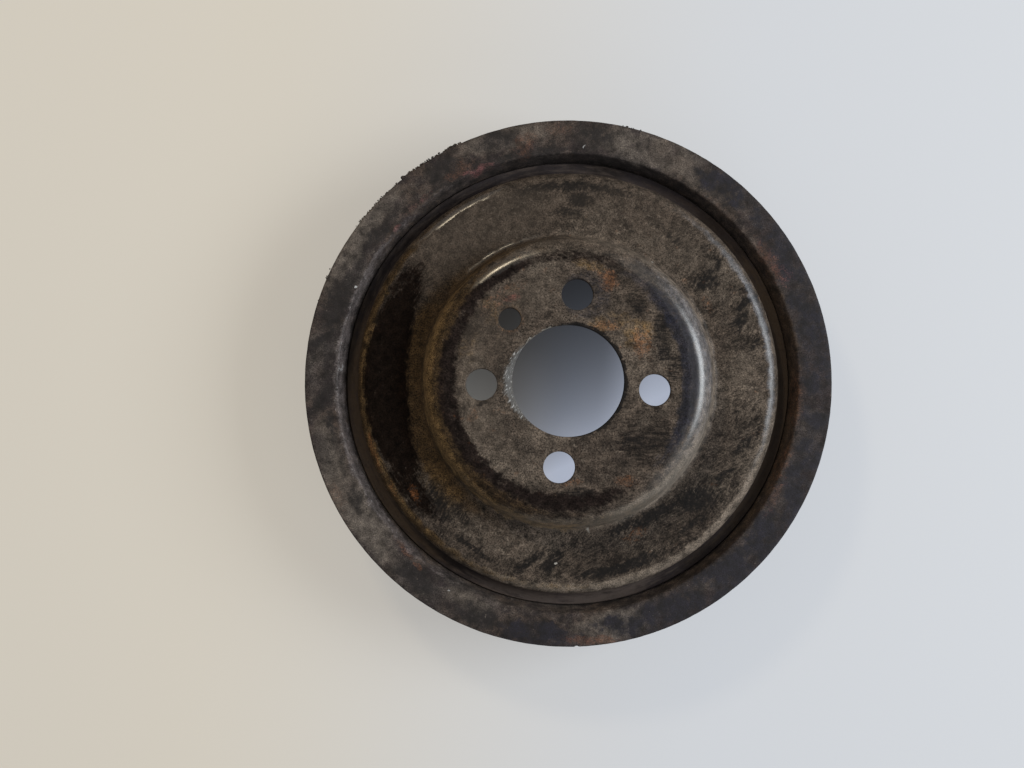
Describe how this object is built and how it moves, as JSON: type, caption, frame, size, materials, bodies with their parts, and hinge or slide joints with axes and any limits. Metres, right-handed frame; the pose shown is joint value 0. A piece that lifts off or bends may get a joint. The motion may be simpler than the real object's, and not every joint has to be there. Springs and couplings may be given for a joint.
{
  "type": "crankshaft pulley",
  "caption": "Round belt pulley for an engine's crankshaft: a grooved iron rim on a rubber ring round a dished, bolted sheet steel hub.",
  "frame": {"origin": "on the pulley's axis, in the plane of the belt rim's rear face", "axes": "+Z along the axis out of the front face that carries the raised hub, +X towards the single bolt hole on the right, +Y towards the top bolt hole"},
  "size_m": [0.145, 0.145, 0.038],
  "materials": {
    "grimed_iron": "old black paint, grime and light rust",
    "aged_rubber": "dull, dusty",
    "dusty_black_paint": "worn satin black paint under baked road dust"
  },
  "bodies": {
    "root": {"belt_rim": "grimed_iron", "rubber_ring": "aged_rubber", "hub_dish": "dusty_black_paint"}
  },
  "joints": []
}
